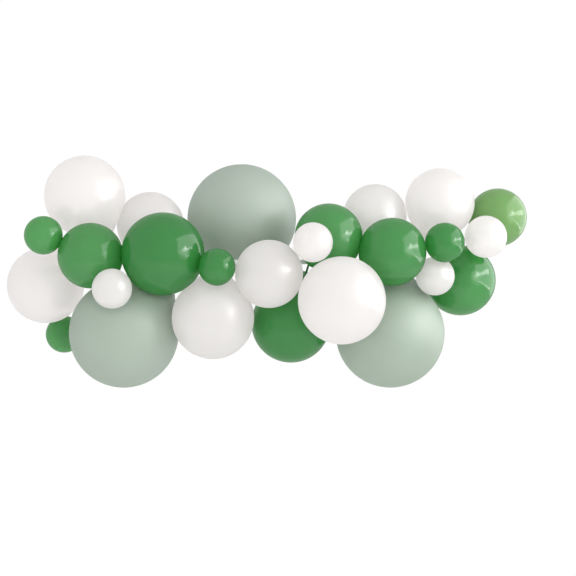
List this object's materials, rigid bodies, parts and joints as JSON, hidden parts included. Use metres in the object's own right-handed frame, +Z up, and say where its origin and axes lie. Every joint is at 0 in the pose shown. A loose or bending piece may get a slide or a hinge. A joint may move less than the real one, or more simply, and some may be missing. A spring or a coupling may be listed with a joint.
{
  "type": "balloon garland",
  "caption": "Horizontal garland of round latex balloons in sage, green and white, clustered in several sizes along a thin holed strip.",
  "frame": {"origin": "the middle of the garland strip's back face, where the garland is held up", "axes": "+X along the garland to the right as seen from the front, +Y to the back, +Z up"},
  "size_m": [1.6662, 0.6633, 0.73],
  "materials": {
    "sage_latex": "satin sage latex",
    "white_latex": "satin white latex",
    "green_latex": "glossy green latex",
    "lime_green_latex": "glossy yellowish green latex",
    "strip_plastic": "pale plastic strip"
  },
  "bodies": {
    "root": {"sage_balloon_lower_left": "sage_latex", "sage_balloon_top": "sage_latex", "sage_balloon_lower_right": "sage_latex", "large_white_balloon_upper_left": "white_latex", "white_balloon_behind_left": "white_latex", "white_balloon_far_left": "white_latex", "white_balloon_centre": "white_latex", "white_balloon_lower_centre": "white_latex", "large_white_balloon_front": "white_latex", "white_balloon_behind_right": "white_latex", "white_balloon_upper_right": "white_latex", "small_white_balloon_left": "white_latex", "small_white_balloon_centre": "white_latex", "small_white_balloon_right": "white_latex", "small_white_balloon_lower_right": "white_latex", "green_balloon_left": "green_latex", "large_green_balloon_left": "green_latex", "green_balloon_lower_centre": "green_latex", "green_balloon_centre_right": "green_latex", "green_balloon_right": "green_latex", "green_balloon_lower_right": "green_latex", "green_balloon_far_right": "lime_green_latex", "small_green_balloon_far_left": "green_latex", "small_green_balloon_lower_left": "green_latex", "small_green_balloon_centre": "green_latex", "small_green_balloon_right": "green_latex", "garland_strip": "strip_plastic"}
  },
  "joints": []
}
